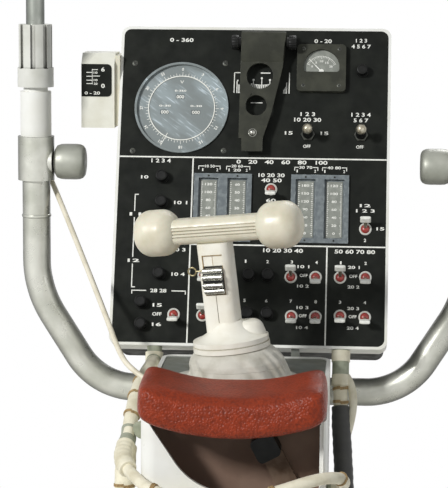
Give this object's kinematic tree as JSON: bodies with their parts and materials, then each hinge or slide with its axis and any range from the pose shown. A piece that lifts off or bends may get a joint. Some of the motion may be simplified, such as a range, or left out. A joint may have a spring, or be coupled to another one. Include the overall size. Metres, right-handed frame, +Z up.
{
  "type": "rover control console",
  "caption": "Pedestal with arm pad, T-grip hand control, leaning instrument console, bent handhold tube and antenna mast for a planetary rover.",
  "frame": {"origin": "middle of the base flange's underside, at the centre of its four bolt holes", "axes": "+Z up; the driver sits on the -Y side and looks along +Y at the panel; +X to the driver's right"},
  "size_m": [0.5246, 0.4632, 1.274],
  "materials": {
    "white_enamel": "satin white enamel, scuffed at the edges",
    "grey_enamel": "blue-grey satin enamel",
    "case_grey": "dark grey-green matt paint",
    "panel_black": "charcoal matt paint",
    "liner_brown": "dark mauve-brown matt lining",
    "black_plastic": "satin black plastic",
    "strap_brown": "brown webbing",
    "red_leather": "brick-red grained leatherette, glossy at the front",
    "dial_silver": "silvery dial in a dark bezel",
    "meter_grey": "blue-grey frames round grey scales",
    "toggle_metal": "bright plated levers with white tabs",
    "cream_plastic": "cream moulded plastic, satin",
    "tube_aluminium": "matt anodised tube",
    "knob_grey": "satin grey plastic",
    "collar_white": "off-white plastic",
    "mast_grey": "grey satin paint",
    "boot_cloth": "gathered off-white coated cloth",
    "gimbal_steel": "machined steel",
    "slider_chrome": "ribbed plated thumb slider",
    "ring_brass": "tarnished brass wire",
    "connector_green": "grey-green moulded connector shells",
    "harness_tape": "cream woven harness wrap",
    "cable_white": "off-white cable jacket"
  },
  "bodies": {
    "console": {"base_flange": "white_enamel", "pedestal_column": "white_enamel", "column_gussets": "white_enamel", "pedestal_housing": "white_enamel", "console_frame": "white_enamel", "sleeve_left": "white_enamel", "sleeve_right": "white_enamel", "top_plate": "grey_enamel", "console_bracket": "grey_enamel", "console_case": "case_grey", "armrest_tray": "case_grey", "panel_plate": "panel_black", "flap_ears": "panel_black", "housing_liner": "liner_brown", "latch_block": "black_plastic", "circuit_breakers": "black_plastic", "speed_meter": "black_plastic", "latch_strap": "strap_brown", "armrest_pad": "red_leather", "heading_indicator": "dial_silver", "edge_meters": "meter_grey", "toggle_switches": "toggle_metal", "ball_toggles": "toggle_metal", "pitch_bracket": "cream_plastic", "handhold_tube": "tube_aluminium", "tee_left": "tube_aluminium", "tee_right": "tube_aluminium", "tee_knob_left": "knob_grey", "tee_knob_right": "knob_grey", "stick_boot": "boot_cloth", "gimbal_lugs": "gimbal_steel", "harness_connectors": "connector_green", "harness_glands": "connector_green", "cable_clip": "connector_green", "harness_left": "harness_tape", "harness_right": "harness_tape", "harness_swag": "harness_tape", "antenna_cable": "cable_white"},
    "gimbal": {"gimbal_ring": "gimbal_steel"},
    "stick": {"stick_post": "cream_plastic", "grip_bar": "cream_plastic", "grip_knob_left": "cream_plastic", "grip_knob_right": "cream_plastic", "thumb_slider": "slider_chrome", "slider_ring": "ring_brass"},
    "shadow_flap": {"shadow_flap": "panel_black"},
    "pitch_indicator": {"pitch_indicator": "cream_plastic"},
    "mast": {"mast_collar": "collar_white", "mast_tube": "mast_grey", "mast_fork": "tube_aluminium"},
    "antenna": {"antenna_head": "tube_aluminium", "antenna_radome": "collar_white"}
  },
  "joints": [
    {"name": "steer", "type": "hinge", "parent": "console", "child": "gimbal", "pos_m": [0, -0.072, 0.456], "axis": [0, 1, 0], "range_deg": [-2, 16]},
    {"name": "throttle", "type": "hinge", "parent": "gimbal", "child": "stick", "pos_m": [0, -0.072, 0.456], "axis": [0.9925, 0, 0.1219], "range_deg": [-14, 14]},
    {"name": "flap_lift", "type": "hinge", "parent": "console", "child": "shadow_flap", "pos_m": [0.0092, 0.13699, 0.80117], "axis": [-1, 0, 0], "range_deg": [0, 90]},
    {"name": "pitch_swing", "type": "hinge", "parent": "console", "child": "pitch_indicator", "pos_m": [-0.1485, 0.18453, 0.74849], "axis": [0, 0, -1], "range_deg": [0, 90]},
    {"name": "mast_turn", "type": "hinge", "parent": "console", "child": "mast", "pos_m": [-0.222, 0.1, 0.75], "axis": [0, 0, 1], "range_deg": [-175, 175]},
    {"name": "antenna_tilt", "type": "hinge", "parent": "mast", "child": "antenna", "pos_m": [-0.222, 0.1, 1.052], "axis": [1, 0, 0], "range_deg": [-60, 60]}
  ]
}
